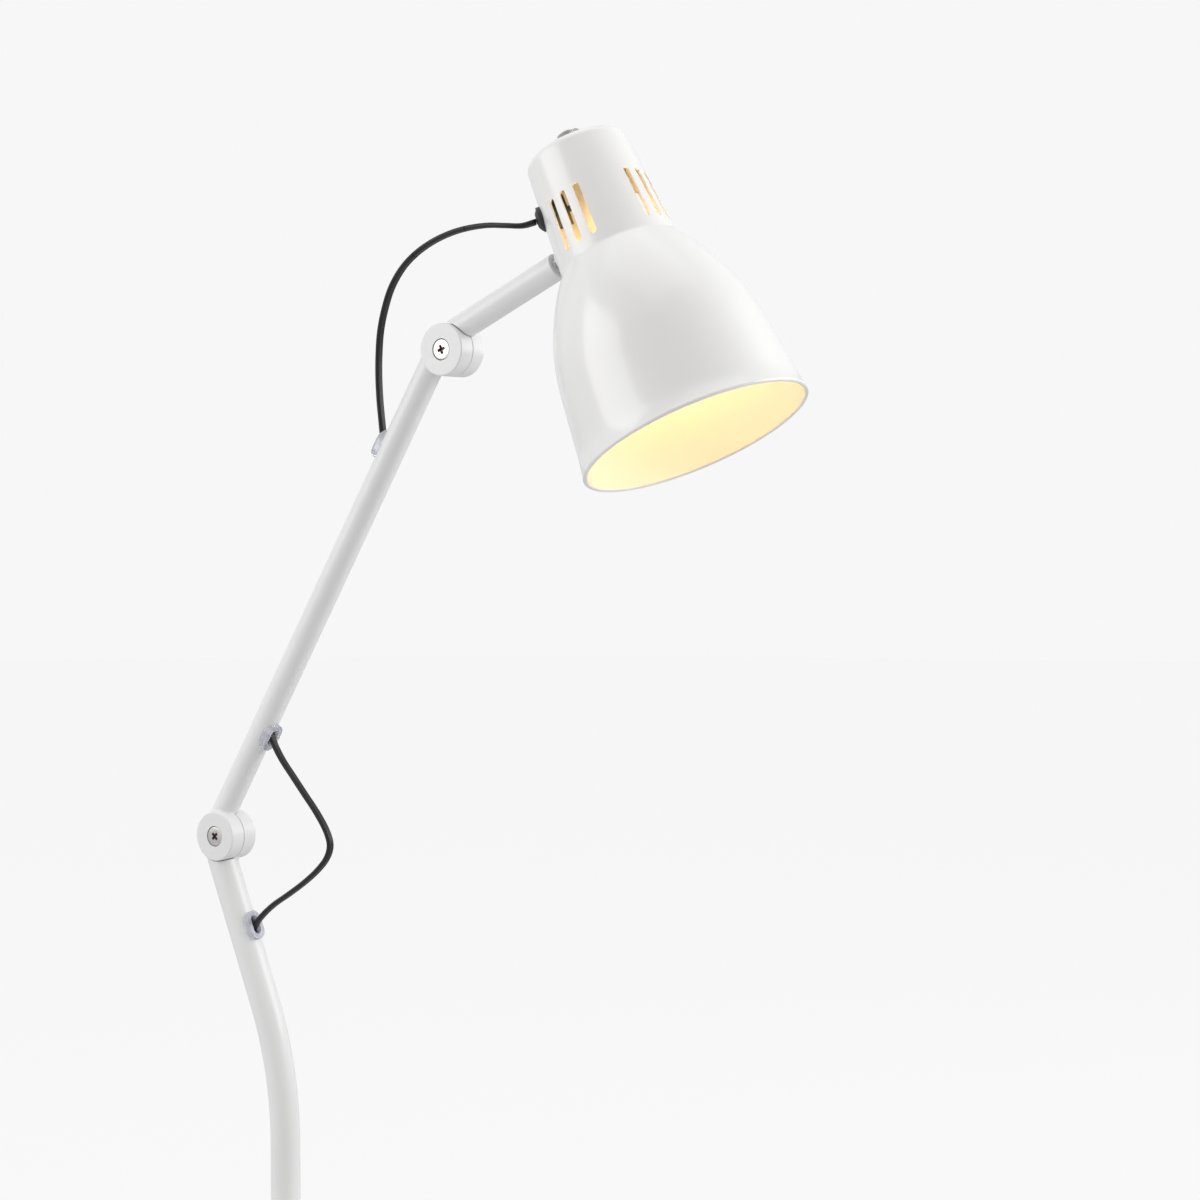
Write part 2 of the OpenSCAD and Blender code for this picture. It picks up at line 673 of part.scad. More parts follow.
module holder_shell() color([0.85, 0.75, 0.45])
    shade_frame() ring(cap_r + 0.9, cap_r + 0.3, holder_low + 3, cap_top);

module holder_contact() color([0.85, 0.75, 0.45])
    shade_frame() translate([0, 0, cap_top + 0.6]) cylinder(r = 3, h = 4.4);

module holder_nipple() color([0.85, 0.83, 0.8])
    shade_frame() ring(nipple_r, nipple_bore, holder_top - 4, shade_h + ring_nut_t);

module ring_nut() color([0.8, 0.8, 0.8])
    shade_frame() difference() {
        hex_block(12, shade_h, shade_h + ring_nut_t);
        cylinder(r = nipple_r, h = shade_h + 10);
    }

module switch_spindle() color([0.8, 0.8, 0.8])
    shade_frame() translate([0, 0, holder_top - 13])
        cylinder(r = spindle_r, h = knob_low + 3 - (holder_top - 13));

module switch_knob() color([0.8, 0.8, 0.8])
    shade_frame() translate([0, 0, knob_low]) difference() {
        union() {
            linear_extrude(height = knob_h - 0.8) polygon([for (i = [0 : 71])
                (i % 2 == 0 ? knob_d / 2 : knob_d / 2 - 0.45) * [cos(5 * i), sin(5 * i)]]);
            translate([0, 0, knob_h - 0.8])
                cylinder(r1 = knob_d / 2 - 0.4, r2 = knob_d / 2 - 1.2, h = 0.8);
        }
        translate([0, 0, -EPS]) cylinder(r = spindle_r, h = 3);
    }

module bulb_glass() color([1, 0.97, 0.88])
    shade_frame() rotate_extrude() polygon(concat(
        [[0, bulb_y - bulb_r]],
        arc([0, bulb_y], bulb_r, -80, 44, 14),
        [[12.2, 108.5], [9.6, 114], [8.4, cap_low + 2], [0, cap_low + 2]]));

module bulb_cap() color([0.8, 0.8, 0.8])
    shade_frame() {
        translate([0, 0, cap_low + 2]) cylinder(r1 = 8.4, r2 = cap_r, h = 2);
        translate([0, 0, cap_low + 4]) cylinder(r = cap_r, h = cap_top - cap_low - 7);
        translate([0, 0, cap_top - 3]) cylinder(r1 = cap_r, r2 = 3, h = 3);
    }

// ---- Cable ----

module post_cable() arm_flex(post_route);
module lower_loop_cable() arm_flex(lower_loop_route);
module arm_cable() arm_flex(arm_route);
module upper_loop_cable() arm_flex(upper_loop_route);
module head_cable() arm_flex(head_route);
module mains_lead() table_flex(lead_route);
module lead_tail() table_flex(tail_route);

module lead_coil() color([0.1, 0.1, 0.1])
    translate([coil_centre.x, coil_centre.y, 0]) ring(coil_out, coil_in, 0, coil_h);

// Plug: local X points from the flex to the pins, origin where the flex enters
module plug_frame() translate(tail_route[len(tail_route) - 1]) rotate([0, 0, plug_turn]) children();

module plug_body() color([0.1, 0.1, 0.1])
    plug_frame() difference() {
        union() {
            rotate([0, 90, 0]) cylinder(r1 = flex_r + 0.9, r2 = 5.5, h = plug_neck + 1);
            translate([plug_neck, 0, -plug_h / 2]) hull() {
                translate([plug_len - 2, -plug_w / 2, 0]) cube([2, plug_w, plug_h]);
                translate([0, -9, 1.5]) cube([2, 18, plug_h - 3]);
            }
        }
        for (s = [-1, 1])
            translate([0, s * pin_gap / 2, 0])
                x_cyl(pin_r, plug_neck + plug_len - 6, plug_neck + plug_len + 1);
        x_cyl(flex_r + 0.05, -1, 6);
    }

module plug_pins() color([0.8, 0.7, 0.4])
    plug_frame() for (s = [-1, 1])
        translate([0, s * pin_gap / 2, 0])
            x_cyl(pin_r, plug_neck + plug_len - 6, plug_neck + plug_len + pin_len);

base_pad();
base_weight();
base_cover();
post_tube();
post_plug();
base_nipple();
nipple_washer();
nipple_nut();
lead_gland();
post_grommet();
lower_back_disc();
lower_front_disc();
lower_screw();
lower_nut();
lower_spring_washer();
lower_fibre_washer();
middle_tube();
middle_lower_grommet();
middle_upper_grommet();
upper_back_disc();
upper_front_disc();
upper_screw();
upper_nut();
upper_spring_washer();
upper_fibre_washer();
upper_tube();
ball_cup();
ball_stud();
saddle_washer();
stud_washer();
stud_nut();
shade();
cord_grip();
cord_grip_nut();
holder_body();
holder_cap();
holder_shell();
holder_contact();
holder_nipple();
ring_nut();
switch_spindle();
switch_knob();
bulb_glass();
bulb_cap();
post_cable();
lower_loop_cable();
arm_cable();
upper_loop_cable();
head_cable();
mains_lead();
lead_coil();
lead_tail();
plug_body();
plug_pins();
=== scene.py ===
# A white swing arm desk lamp: weighted round base, bent post, two jointed arms and a spun
# metal shade with vent slots. Everything is in metres, in the same frame as the CAD model.
import json
import math
import bpy
import bmesh
from mathutils import Vector, Matrix


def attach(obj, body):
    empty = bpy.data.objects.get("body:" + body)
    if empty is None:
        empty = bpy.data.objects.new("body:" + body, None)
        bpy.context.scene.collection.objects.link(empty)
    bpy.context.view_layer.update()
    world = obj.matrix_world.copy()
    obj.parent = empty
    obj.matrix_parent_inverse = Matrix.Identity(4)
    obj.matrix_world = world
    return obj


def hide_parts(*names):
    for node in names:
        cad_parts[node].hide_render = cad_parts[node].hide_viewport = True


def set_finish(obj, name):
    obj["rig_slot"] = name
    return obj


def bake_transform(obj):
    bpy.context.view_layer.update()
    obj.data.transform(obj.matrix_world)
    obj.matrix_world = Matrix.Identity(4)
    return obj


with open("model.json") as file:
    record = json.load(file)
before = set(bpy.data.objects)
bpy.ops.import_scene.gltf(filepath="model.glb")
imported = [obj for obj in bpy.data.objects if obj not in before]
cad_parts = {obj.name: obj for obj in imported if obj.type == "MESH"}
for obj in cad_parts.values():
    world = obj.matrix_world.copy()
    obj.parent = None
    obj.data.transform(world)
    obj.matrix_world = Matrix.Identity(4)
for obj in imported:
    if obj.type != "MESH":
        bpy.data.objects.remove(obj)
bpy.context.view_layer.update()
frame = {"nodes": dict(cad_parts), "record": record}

bpy.ops.object.select_all(action="DESELECT")


# ---- Camera ----
# A long lens on a tripod, a little below the lampholder and looking slightly down, so that
# the foot of the post runs out of the bottom of the frame.
camera_data = bpy.data.cameras.new("studio_camera")
camera_data.sensor_width = 36.0
camera_data.lens = 78.67
camera_data.clip_start = 0.05
camera = bpy.data.objects.new("studio_camera", camera_data)
bpy.context.scene.collection.objects.link(camera)
camera.location = (1.1289, -1.2524, 0.5312)
camera.rotation_euler = (math.radians(90 - 2.28), 0, math.radians(35.13))
bpy.context.scene.camera = camera
bpy.context.scene.view_settings.view_transform = "Standard"


# ---- Cables ----
# Flat twin flex with a black satin PVC jacket, 5.4 by 3.4 mm over its two cores. It leaves the
# post and the arms through grommets and hangs in a bow past each hinge, so the arms can fold.
# The jacket dips between the cores.
def smooth_line(route, step):
    """The route's points joined by one smooth curve, with a point about every step."""
    ends = [2 * route[0] - route[1]] + list(route) + [2 * route[-1] - route[-2]]
    line = []
    for a, b, c, d in zip(ends, ends[1:], ends[2:], ends[3:]):
        count = max(1, round((c - b).length / step))
        for i in range(count):
            t = i / count
            line.append(0.5 * (2 * b + (c - a) * t + (2 * a - 5 * b + 4 * c - d) * t * t
                               + (3 * b - a - 3 * c + d) * t ** 3))
    return line + [route[-1]]


def new_piece(name, bm):
    """The finished bmesh as a piece, with its faces turned outwards."""
    bmesh.ops.recalc_face_normals(bm, faces=bm.faces)
    mesh = bpy.data.meshes.new(name)
    bm.to_mesh(mesh)
    bm.free()
    piece = bpy.data.objects.new(name, mesh)
    bpy.context.scene.collection.objects.link(piece)
    return piece


def bridge(bm, first, second):
    """A band of faces between two closed rings of as many points."""
    for k in range(len(first)):
        after = (k + 1) % len(first)
        bm.faces.new((first[k], first[after], second[after], second[k]))


flex_width, flex_thickness = 0.0054, 0.0034
points_round_flex = 20


def lay_flex(name, line, broad_way=None):
    """Twin flex along a line. Its broad side keeps to broad_way, or lies flat on the table."""
    waist_width, waist_depth, crown = 0.0008, 0.3, 1.06
    bm = bmesh.new()
    rings = []
    for i, middle in enumerate(line):
        ahead = (line[min(i + 1, len(line) - 1)] - line[max(i - 1, 0)]).normalized()
        across = broad_way or ahead.cross(Vector((0, 0, 1)))
        across = (across - across.dot(ahead) * ahead).normalized()
        up = ahead.cross(across)
        ring = []
        for k in range(points_round_flex):
            turn = 2 * math.pi * k / points_round_flex
            x = flex_width / 2 * math.cos(turn)
            waist = crown - waist_depth * math.exp(-(x / waist_width) ** 2)
            y = flex_thickness / 2 * math.sin(turn) * waist
            ring.append(bm.verts.new(middle + x * across + y * up))
        rings.append(ring)
    for first, second in zip(rings, rings[1:]):
        bridge(bm, first, second)
    bm.faces.new(rings[0][::-1])
    bm.faces.new(rings[-1])
    for face in bm.faces:
        face.smooth = len(face.verts) == 4
    return new_piece(name, bm)


def line_length(line):
    return sum((b - a).length for a, b in zip(line, line[1:]))


def metres(points):
    return [Vector(p) / 1000 for p in points]


class Wire:
    """One output of a shader node, so that shader maths reads as plain arithmetic."""

    def __init__(self, tree, socket):
        self.tree, self.socket = tree, socket

    def node(self, kind, settings, links, out=0):
        made = self.tree.nodes.new(kind)
        for key, value in settings.items():
            setattr(made, key, value)
        for key, value in links.items():
            if isinstance(value, Wire):
                self.tree.links.new(value.socket, made.inputs[key])
            else:
                made.inputs[key].default_value = value
        return Wire(self.tree, made.outputs[out])

    def math(self, operation, *values):
        return self.node("ShaderNodeMath", {"operation": operation}, dict(enumerate(values)))

    def __add__(self, other):
        return self.math("ADD", self, other)

    def __radd__(self, other):
        return self.math("ADD", other, self)

    def __sub__(self, other):
        return self.math("SUBTRACT", self, other)

    def __mul__(self, other):
        return self.math("MULTIPLY", self, other)

    def clamped(self, low, high):
        return self.math("MINIMUM", self.math("MAXIMUM", self, low), high)

    def mixed(self, first, second):
        """The first colour where this is 0, the second where it is 1."""
        return self.node("ShaderNodeMix", {"data_type": "RGBA"},
                         {0: self, 6: first, 7: second}, out=2)

    def noise(self, place, scale, detail=2.0):
        return self.node("ShaderNodeTexNoise", {},
                         {"Vector": place, "Scale": scale, "Detail": detail})

    def bump(self, height, strength, distance):
        return self.node("ShaderNodeBump", {},
                         {"Height": height, "Strength": strength, "Distance": distance})


def new_finish(name, **fixed):
    """An empty node material: its shader's sockets, a wire to draw with and the place wire."""
    finish = bpy.data.materials.new(name)
    finish.use_nodes = True
    tree = finish.node_tree
    shader = tree.nodes["Principled BSDF"]
    for socket, value in fixed.items():
        shader.inputs[socket.replace("_", " ")].default_value = value
    coordinates = tree.nodes.new("ShaderNodeTexCoord")
    place = Wire(tree, coordinates.outputs["Object"])

    def feed(socket, wire):
        tree.links.new(wire.socket, shader.inputs[socket])
    return finish, feed, place


def dress(finish, *pieces):
    """Gives the finish to CAD nodes, by name, or to new pieces."""
    for piece in pieces:
        piece = frame["nodes"][piece] if isinstance(piece, str) else piece
        if piece.material_slots:
            for slot in piece.material_slots:
                slot.material = finish
        else:
            piece.data.materials.append(finish)


black_pvc, feed, place = new_finish("black_pvc_jacket", IOR=1.5, Specular_IOR_Level=0.36)
haze = place.noise(place, 700.0, 3.0)
rub = place.noise(place, 60.0, 4.0)
feed("Base Color", (rub * 1.4 - 0.2).clamped(0, 1).mixed((0.008, 0.008, 0.009, 1),
                                                       (0.017, 0.017, 0.0185, 1)))
feed("Roughness", 0.3 + rub * 0.16)
feed("Normal", place.bump(haze, 0.06, 0.0001))

lower_bow = smooth_line(metres([
    (-28, 0, 234), (-29, 0, 243), (-26, 0, 252), (-19, 0, 260), (-9, 0, 268), (4, 0, 276),
    (17, 0, 284.5), (28, 0, 293), (36, 0, 301.5), (39, 0, 310), (36, 0, 319), (28, 0, 330),
    (18, 0, 341), (8, 0, 352), (-1.2, 0, 362.3), (-8.3, 0, 373), (-11.5, 0, 384),
    (-8, 0, 396.3)]), 0.0025)
lower_cable = lay_flex("lower_cable", lower_bow, Vector((0, 1, 0)))
dress(black_pvc, lower_cable)
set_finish(lower_cable, "flex")
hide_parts("lower_loop_cable")
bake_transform(lower_cable)
line_length(lower_bow)

upper_bow = smooth_line(metres([
    (78, 0, 538), (82.6, 0, 548), (84.3, 0, 554.5), (84.1, 0, 562), (83.6, 0, 569),
    (83, -0.4, 577), (82, -1, 590), (82, -2, 604), (83, -3, 618), (86, -5, 632), (91, -7, 645),
    (99, -10, 658), (110, -13, 669), (123, -16, 677), (138, -19, 683), (154, -22, 687),
    (170, -25, 689), (186, -27, 689.5), (200, -27.5, 688.5), (210, -25, 688),
    (216.3, -20.3, 690.2)]), 0.0025)
first_cut = min(range(len(upper_bow)), key=lambda i: abs(upper_bow[i].x - 0.123))
second_cut = min(range(len(upper_bow)), key=lambda i: abs(upper_bow[i].x - 0.170))
for name, part, bodies in (
        ("upper_cable_a", upper_bow[:first_cut + 1], ("middle_arm", "upper_arm")),
        ("upper_cable_b", upper_bow[first_cut:second_cut + 1], ("upper_arm", "ball_cup")),
        ("upper_cable_c", upper_bow[second_cut:], ("ball_cup", "head"))):
    cable = lay_flex(name, part, Vector((0, 1, 0)))
    dress(black_pvc, cable)
    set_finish(cable, "flex")
    if name == "upper_cable_a":
        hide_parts("upper_loop_cable")
    part[8 if name == "upper_cable_a" else 0]
    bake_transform(cable)
    line_length(part)

dress(black_pvc, "post_cable", "arm_cable", "head_cable")


# ---- Mains lead ----
# The same flex, 1.8 m from the base to a moulded plug. The spare length lies behind the base,
# wound flat in two layers as it is stored, with the plug beside the coil.
lead_points = [(-130, 0, 8), (-141, 1, 6), (-152, 6, 3.2), (-161, 16, 1.9), (-167, 30, 1.8),
               (-170, 46, 1.8), (-171.5, 64, 1.8)]
turns, points_in_coil = 9.25, 222
coil_x, coil_y, outer_turn, pitch = -130.7, 84, 41.3, 5.45
lying_height, layer_rise = 1.8, 3.5
for i in range(points_in_coil + 1):
    wound = turns * i / points_in_coil
    layer_depth = min(wound, turns - wound)
    climb = min(1, max(0, (wound - turns / 2 + 0.2) / 0.4))
    radius = outer_turn - pitch * layer_depth
    angle = math.pi - 2 * math.pi * wound
    lead_points.append((coil_x + radius * math.cos(angle), coil_y + radius * math.sin(angle),
                        lying_height + layer_rise * climb * climb * (3 - 2 * climb)))
lead_points += [(-118.7, 125.5, 4.6), (-106.7, 126.2, 3), (-95.7, 127.2, 2.2),
                (-85.7, 128.4, 3), (-76.7, 129.7, 5), (-69.7, 130.7, 7)]
lead_line = smooth_line(metres(lead_points), 0.005)
mains_flex = lay_flex("mains_flex", lead_line)
dress(black_pvc, mains_flex)
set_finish(mains_flex, "flex")
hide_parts("mains_lead", "lead_coil", "lead_tail")
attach(mains_flex, "stand")
line_length(lead_line)

# Moulded PVC of the plug and the base's strain relief, slightly duller than the flex.
moulded_pvc, feed, place = new_finish("moulded_black_pvc", IOR=1.5)
grain = place.noise(place, 900.0, 3.0)
cloud = place.noise(place, 45.0, 4.0)
feed("Base Color", (cloud * 1.5 - 0.25).clamped(0, 1).mixed((0.013, 0.013, 0.014, 1),
                                                          (0.03, 0.03, 0.031, 1)))
feed("Roughness", 0.42 + cloud * 0.15)
feed("Normal", place.bump(grain, 0.25, 0.0003))
dress(moulded_pvc, "plug_body", "lead_gland")


# ---- Base ----
# A turned cast iron disc under a spun steel cover, on a foam pad. A threaded nipple through the
# middle pulls the post, the cover and the weight together.
foam, feed, place = new_finish("foam_rubber_pad", IOR=1.4, Specular_IOR_Level=0.2)
cells = place.node("ShaderNodeTexVoronoi", {}, {"Vector": place, "Scale": 1400.0})
feed("Base Color", cells.clamped(0, 1).mixed((0.02, 0.02, 0.02, 1), (0.055, 0.055, 0.055, 1)))
feed("Roughness", 0.85 + cells * 0.1)
feed("Normal", place.bump(cells, 0.5, 0.0004))
dress(foam, "base_pad")

iron, feed, place = new_finish("sand_cast_iron", IOR=1.6)
sand = place.noise(place, 420.0, 5.0)
scale_marks = place.noise(place, 38.0, 5.0)
feed("Base Color", (scale_marks * 2.2 - 0.6).clamped(0, 1).mixed((0.035, 0.034, 0.035, 1),
                                                               (0.10, 0.095, 0.09, 1)))
feed("Metallic", 0.35 + scale_marks * 0.3)
feed("Roughness", 0.62 + sand * 0.25)
feed("Normal", place.bump(sand, 0.7, 0.0006))
dress(iron, "base_weight")

gloss_white, feed, place = new_finish("gloss_white_stove_enamel", IOR=1.5, Coat_IOR=1.5,
                                      Coat_Roughness=0.14)
peel = place.noise(place, 330.0, 2.0)
drift = place.noise(place, 9.0, 3.0)
feed("Base Color", (drift * 1.6 - 0.3).clamped(0, 1).mixed((0.80, 0.795, 0.775, 1),
                                                         (0.85, 0.845, 0.83, 1)))
feed("Roughness", 0.3 + drift * 0.06)
feed("Coat Weight", 0.65 + drift * 0.1)
feed("Normal", place.bump(peel, 0.035, 0.0008))
dress(gloss_white, "base_cover")

zinc, feed, place = new_finish("zinc_plated_steel", IOR=2.2)
spangle = place.noise(place, 260.0, 4.0)
feed("Base Color", (spangle * 1.4 - 0.2).clamped(0, 1).mixed((0.50, 0.50, 0.52, 1),
                                                           (0.66, 0.66, 0.67, 1)))
feed("Metallic", 0.92 + spangle * 0.08)
feed("Roughness", 0.28 + spangle * 0.16)
feed("Normal", place.bump(spangle, 0.1, 0.0002))
dress(zinc, "post_plug", "nipple_washer", "lower_nut", "upper_nut", "lower_spring_washer",
      "upper_spring_washer", "stud_washer", "stud_nut", "ball_stud")

brass, feed, place = new_finish("turned_brass", IOR=1.8)
turning = place.noise(place, 1500.0, 2.0)
tarnish = place.noise(place, 120.0, 4.0)
feed("Base Color", (tarnish * 1.6 - 0.3).clamped(0, 1).mixed((0.52, 0.36, 0.13, 1),
                                                           (0.74, 0.56, 0.25, 1)))
feed("Metallic", 0.94 + turning * 0.06)
feed("Roughness", 0.2 + tarnish * 0.2)
feed("Normal", place.bump(turning, 0.08, 0.0001))
dress(brass, "base_nipple", "nipple_nut", "holder_shell", "holder_contact", "plug_pins")


# ---- Post, arms and hinge discs ----
# Steel tube and turned steel discs welded together, stove enamelled satin white as one piece.
# The sprayed enamel is a little thinner and duller than on the shade.
satin_white, feed, place = new_finish("satin_white_stove_enamel", IOR=1.5, Coat_IOR=1.5,
                                      Coat_Roughness=0.16)
peel = place.noise(place, 520.0, 2.0)
drift = place.noise(place, 14.0, 3.0)
feed("Base Color", (drift * 1.6 - 0.3).clamped(0, 1).mixed((0.765, 0.765, 0.765, 1),
                                                         (0.81, 0.81, 0.808, 1)))
feed("Roughness", 0.38 + drift * 0.08)
feed("Coat Weight", 0.3 + drift * 0.1)
feed("Normal", place.bump(peel, 0.05, 0.0005))
dress(satin_white, "post_tube", "middle_tube", "upper_tube", "lower_back_disc",
      "lower_front_disc", "upper_back_disc", "upper_front_disc", "saddle_washer")


def weld(name, hinge, slope, outwards, tube_radius, side, body):
    """The dressed weld between a tube's end and the rim of its own hinge disc."""
    slope = math.radians(slope)
    away = outwards * Vector((math.cos(slope), 0, math.sin(slope)))
    offset = Vector((-math.sin(slope), 0, math.cos(slope)))
    width_way = Vector((0, side, 0))
    disc_radius, shift = 0.016, 0.009
    sunk_in, steps = 0.00006, 48
    narrowest, widest = 0.0008, 0.0024
    start, stop = math.acos((0.0156 - shift) / tube_radius), math.radians(176)

    def on_tube(turn, reach):
        out = math.cos(turn) * offset + math.sin(turn) * width_way
        return hinge + reach * away + shift * offset + tube_radius * out, out

    def on_disc(turn, y):
        out = math.cos(turn) * away + math.sin(turn) * offset
        return hinge + disc_radius * out + Vector((0, y, 0)), out

    bm = bmesh.new()
    rings = []
    for i in range(steps + 1):
        turn = start + (stop - start) * i / steps
        height = shift + tube_radius * math.cos(turn)
        reach = math.sqrt(disc_radius ** 2 - height ** 2)
        corner, tube_out = on_tube(turn, reach)
        disc_out = (reach * away + height * offset) / disc_radius
        size = min(widest, max(narrowest, 0.0105 - tube_radius * math.sin(turn)))
        size *= min(1, 0.25 + i / 8, 0.35 + (steps - i) / 8)
        along_tube = (disc_out - disc_out.dot(tube_out) * tube_out).normalized()
        round_tube = -math.sin(turn) * offset + math.cos(turn) * width_way
        first, out = on_tube(turn + size * along_tube.dot(round_tube) / tube_radius,
                             reach + size * along_tube.dot(away))
        first -= sunk_in * out
        along_disc = (tube_out - tube_out.dot(disc_out) * disc_out).normalized()
        bearing = math.atan2(height, reach)
        round_disc = -math.sin(bearing) * away + math.cos(bearing) * offset
        last, out = on_disc(bearing + size * along_disc.dot(round_disc) / disc_radius,
                            corner.y + size * along_disc.y)
        last -= sunk_in * out
        ring = []
        for k in range(7):
            t = k / 6
            ring.append((1 - t) ** 2 * first + 2 * t * (1 - t) * corner + t * t * last)
        ring.append(corner - 0.0006 * tube_out - 0.0006 * disc_out)
        rings.append([bm.verts.new(point) for point in ring])
    for one, two in zip(rings, rings[1:]):
        bridge(bm, one, two)
    bm.faces.new(rings[0][::-1])
    bm.faces.new(rings[-1])
    for face in bm.faces:
        face.smooth = True
    bead = new_piece(name, bm)
    dress(satin_white, bead)
    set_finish(bead, "white_satin")
    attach(bead, body)


lower_pin = Vector((-0.050338, 0, 0.310267))
upper_pin = Vector((0.138268, 0, 0.619253))
weld("post_weld", lower_pin, 112, -1, 0.0095, 1, "stand")
weld("middle_arm_lower_weld", lower_pin, 58.6, 1, 0.008, -1, "middle_arm")
weld("middle_arm_upper_weld", upper_pin, 58.6, -1, 0.008, -1, "middle_arm")
weld("upper_arm_weld", upper_pin, 25, 1, 0.008, 1, "upper_arm")


# ---- Hinge screws ----
# Nickel plated pan head screws, 12.4 mm across, sunk in the front discs. The driver recess is
# painted dark and brownish, a painted shade over the nickel.
nickel, feed, place = new_finish("bright_nickel_plate", IOR=2.0)
polish = place.noise(place, 800.0, 3.0)
bloom = place.noise(place, 160.0, 3.0)
feed("Base Color", (bloom * 1.5 - 0.25).clamped(0, 1).mixed((0.55, 0.53, 0.51, 1),
                                                          (0.78, 0.765, 0.75, 1)))
feed("Metallic", 0.95 + bloom * 0.05)
feed("Roughness", 0.28 + bloom * 0.12)
feed("Normal", place.bump(polish, 0.05, 0.0001))
dress(nickel, "switch_spindle", "ring_nut", "holder_nipple", "bulb_cap")

# painted shade: the driver recess is coloured dark brown, mottled, to stand in for its shade
painted_recess_shade, feed, place = new_finish("painted_recess_shade_finish", IOR=1.7)
recess_shade_mottle = place.noise(place, 900.0, 4.0)
feed("Base Color", (recess_shade_mottle * 1.6 - 0.3).clamped(0, 1).mixed((0.055, 0.035, 0.025, 1),
                                                        (0.20, 0.13, 0.10, 1)))
feed("Metallic", 0.5 + recess_shade_mottle * 0.3)
feed("Roughness", 0.45 + recess_shade_mottle * 0.2)
feed("Normal", place.bump(recess_shade_mottle, 0.3, 0.0002))


def apply_modifiers(piece):
    bpy.ops.object.select_all(action="DESELECT")
    piece.select_set(True)
    bpy.context.view_layer.objects.active = piece
    for modifier in list(piece.modifiers):
        bpy.ops.object.modifier_apply(modifier=modifier.name)


def punch_out(piece, name, punch):
    """Cuts the punch's shape out of the piece and takes the punch away."""
    cut = piece.modifiers.new(name, "BOOLEAN")
    cut.object, cut.operation, cut.solver = punch, "DIFFERENCE", "EXACT"
    apply_modifiers(piece)
    bpy.data.objects.remove(punch)


def settle(piece, place_in_lamp, shade_angle=30):
    """Puts the piece's place into its mesh, with smooth faces up to a sharp edge."""
    piece.data.transform(place_in_lamp @ piece.matrix_world)
    piece.matrix_world = Matrix.Identity(4)
    bpy.ops.object.select_all(action="DESELECT")
    piece.select_set(True)
    bpy.context.view_layer.objects.active = piece
    bpy.ops.object.shade_smooth_by_angle(angle=math.radians(shade_angle))
    piece.select_set(False)


screw_radius, head_depth, edge_roll = 0.0062, 0.0032, 0.0005
arm_reach, inner_corner, arm_half_angle = 0.0030, 0.0014, 17
for name, pin, turned, body in (("lower_screw", lower_pin, 45, "stand"),
                                ("upper_screw", upper_pin, 18, "upper_arm")):
    bpy.ops.mesh.primitive_cylinder_add(vertices=96, radius=screw_radius, depth=head_depth,
                                        location=(0, 0, -head_depth / 2))
    head = bpy.context.object
    head.name = name + "_head"
    bpy.ops.object.transform_apply(location=True)
    rim = head.modifiers.new("rolled_edge", "BEVEL")
    rim.width, rim.segments, rim.limit_method = edge_roll, 4, "ANGLE"
    star = []
    for arm in range(4):
        star += [(arm_reach, 90 * arm - arm_half_angle), (arm_reach, 90 * arm + arm_half_angle),
                 (inner_corner, 90 * arm + 45)]
    bm = bmesh.new()
    levels = []
    for depth, share in ((0.0006, 1.06), (0.0, 1.0), (-0.0016, 0.62)):
        levels.append([bm.verts.new((share * r * math.cos(math.radians(a)),
                                     share * r * math.sin(math.radians(a)), depth))
                       for r, a in star])
    for one, two in zip(levels, levels[1:]):
        bridge(bm, one, two)
    bm.faces.new(levels[0])
    bm.faces.new(levels[-1])
    punch_out(head, "driver_recess", new_piece("driver_punch", bm))
    dress(nickel, head)
    head.data.materials.append(painted_recess_shade)
    # the faces inside the driver recess take the painted shade
    for face in head.data.polygons:
        if face.center.z < -0.0001 and face.center.xy.length < 0.0034 and face.center.z > -0.0025:
            face.material_index = 1
    facing_front = Matrix.Rotation(math.radians(90), 4, "X")
    settle(head, Matrix.Translation(pin + Vector((0, -0.0109, 0))) @ facing_front
           @ Matrix.Rotation(math.radians(turned), 4, "Z"))
    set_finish(head, "nickel")
    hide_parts(name)
    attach(head, body)

fibre, feed, place = new_finish("pressed_red_fibre", IOR=1.45)
strands = place.noise(place, 900.0, 5.0)
feed("Base Color", (strands * 2 - 0.5).clamped(0, 1).mixed((0.10, 0.045, 0.025, 1),
                                                         (0.22, 0.11, 0.06, 1)))
feed("Roughness", 0.7 + strands * 0.2)
feed("Normal", place.bump(strands, 0.4, 0.0003))
dress(fibre, "lower_fibre_washer", "upper_fibre_washer")


# ---- Grommets ----
# Clear soft PVC rings, saddle shaped to sit on the tube, pushed into the slotted cable holes
# so that the hole's edge doesn't cut the flex.
clear_pvc, feed, place = new_finish("clear_soft_pvc", IOR=1.40, Transmission_Weight=0.55)
milk = place.noise(place, 300.0, 3.0)
feed("Base Color", (milk * 1.6 - 0.3).clamped(0, 1).mixed((0.80, 0.81, 0.90, 1),
                                                        (0.95, 0.955, 0.98, 1)))
feed("Roughness", 0.12 + milk * 0.12)
feed("Normal", place.bump(milk, 0.1, 0.0003))
dress(clear_pvc, "post_grommet", "middle_lower_grommet", "middle_upper_grommet")


# ---- Head joint ----
# A moulded white nylon cup in the end of the upper arm grips a steel ball, whose stud is
# bolted through the shade's neck.
white_nylon, feed, place = new_finish("moulded_white_nylon", IOR=1.52)
flow = place.noise(place, 500.0, 3.0)
feed("Base Color", flow.clamped(0, 1).mixed((0.70, 0.70, 0.69, 1), (0.78, 0.78, 0.77, 1)))
feed("Roughness", 0.4 + flow * 0.15)
feed("Normal", place.bump(flow, 0.12, 0.0003))
dress(white_nylon, "ball_cup")


# ---- Shade ----
# 1.2 mm steel sheet spun to a bell with a slightly tapered neck, its mouth edge rolled over a
# wire, three groups of three vent slots punched in the neck, gloss white stove enamel inside
# and out.

